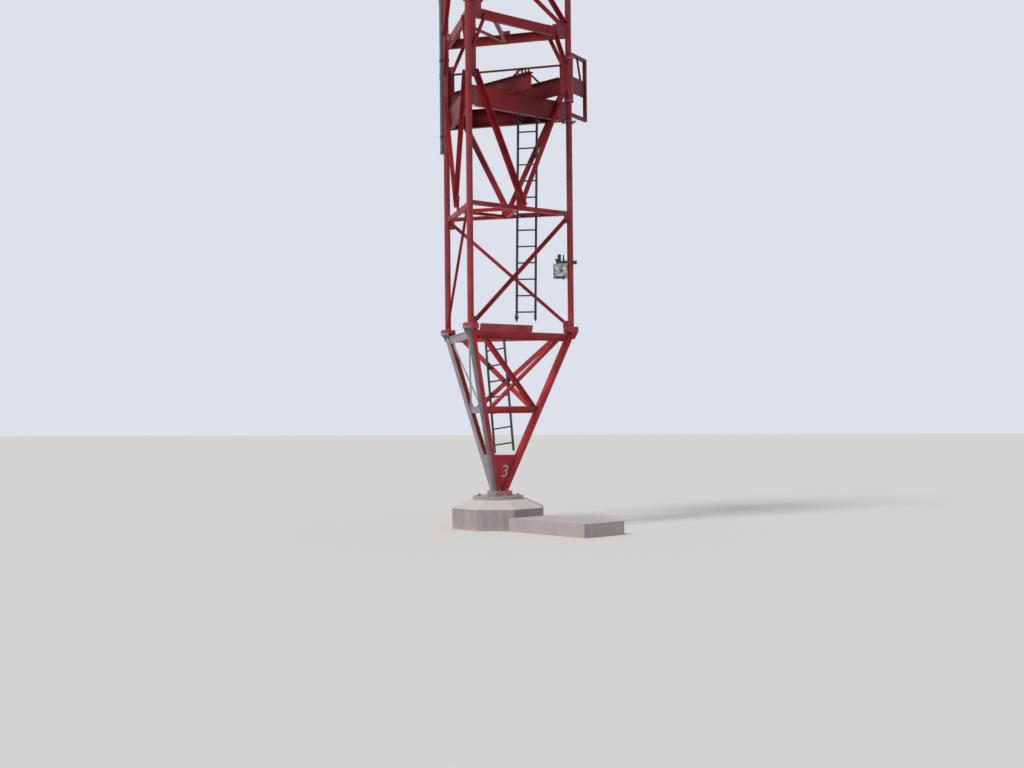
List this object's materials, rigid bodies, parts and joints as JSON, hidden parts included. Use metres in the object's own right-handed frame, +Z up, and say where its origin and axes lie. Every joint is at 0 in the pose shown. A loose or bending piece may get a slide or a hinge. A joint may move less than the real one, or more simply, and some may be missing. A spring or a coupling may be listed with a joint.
{
  "type": "radio mast",
  "caption": "Three-legged lattice radio mast with round legs, a base that tapers to a pointed foot, a girder collar and ladders, on a concrete block.",
  "frame": {"origin": "centre of the foundation block's flat underside, on the mast's axis, at ground level", "axes": "+Z straight up along the mast's axis; +X along the rear face towards the right leg; +Y out through the rear face, so that the leg at -Y stands at the front"},
  "size_m": [3.9661, 3.219, 12.034],
  "materials": {
    "red_paint": "weathered satin oxide red",
    "grey_paint": "weathered grey",
    "dark_steel": "dark blue-grey",
    "galvanised": "dull galvanised",
    "box_paint": "mottled pale grey",
    "concrete": "rough, stained"
  },
  "bodies": {
    "root": {"foundation_block": "concrete", "foundation_step": "concrete", "base_plate": "grey_paint", "foot_pad": "red_paint", "base_leg_a": "red_paint", "base_leg_b": "red_paint", "base_leg_c": "red_paint", "foot_plate_ab": "red_paint", "foot_plate_bc": "red_paint", "foot_plate_ca": "red_paint", "base_beam_ab": "red_paint", "base_beam_bc": "red_paint", "base_beam_ca": "red_paint", "base_bracing_ab": "red_paint", "base_bracing_bc": "red_paint", "base_bracing_ca": "red_paint", "leg_a": "red_paint", "leg_b": "red_paint", "leg_c": "red_paint", "diagonal_ab": "red_paint", "diagonal_bc": "red_paint", "diagonal_ca": "red_paint", "ring_1_ab": "red_paint", "ring_1_bc": "red_paint", "ring_1_ca": "red_paint", "plan_brace": "red_paint", "v_brace_ab": "red_paint", "v_brace_bc": "red_paint", "v_brace_ca": "red_paint", "collar_girder_ab": "red_paint", "collar_girder_bc": "red_paint", "collar_girder_ca": "red_paint", "cross_girder_1": "red_paint", "cross_girder_2": "red_paint", "girder_tie": "red_paint", "corner_bracket": "red_paint", "rear_tie": "red_paint", "ring_2_ab": "red_paint", "ring_2_bc": "red_paint", "ring_2_ca": "red_paint", "upper_plan_brace": "red_paint", "upper_cross_ab": "red_paint", "upper_cross_bc": "red_paint", "upper_cross_ca": "red_paint", "ring_3_ab": "red_paint", "ring_3_bc": "red_paint", "ring_3_ca": "red_paint", "landing_channel": "red_paint", "lower_ladder": "dark_steel", "main_ladder": "dark_steel", "side_pole": "galvanised", "pole_clips": "red_paint", "box_clamp": "dark_steel", "cable_box": "box_paint"}
  },
  "joints": []
}
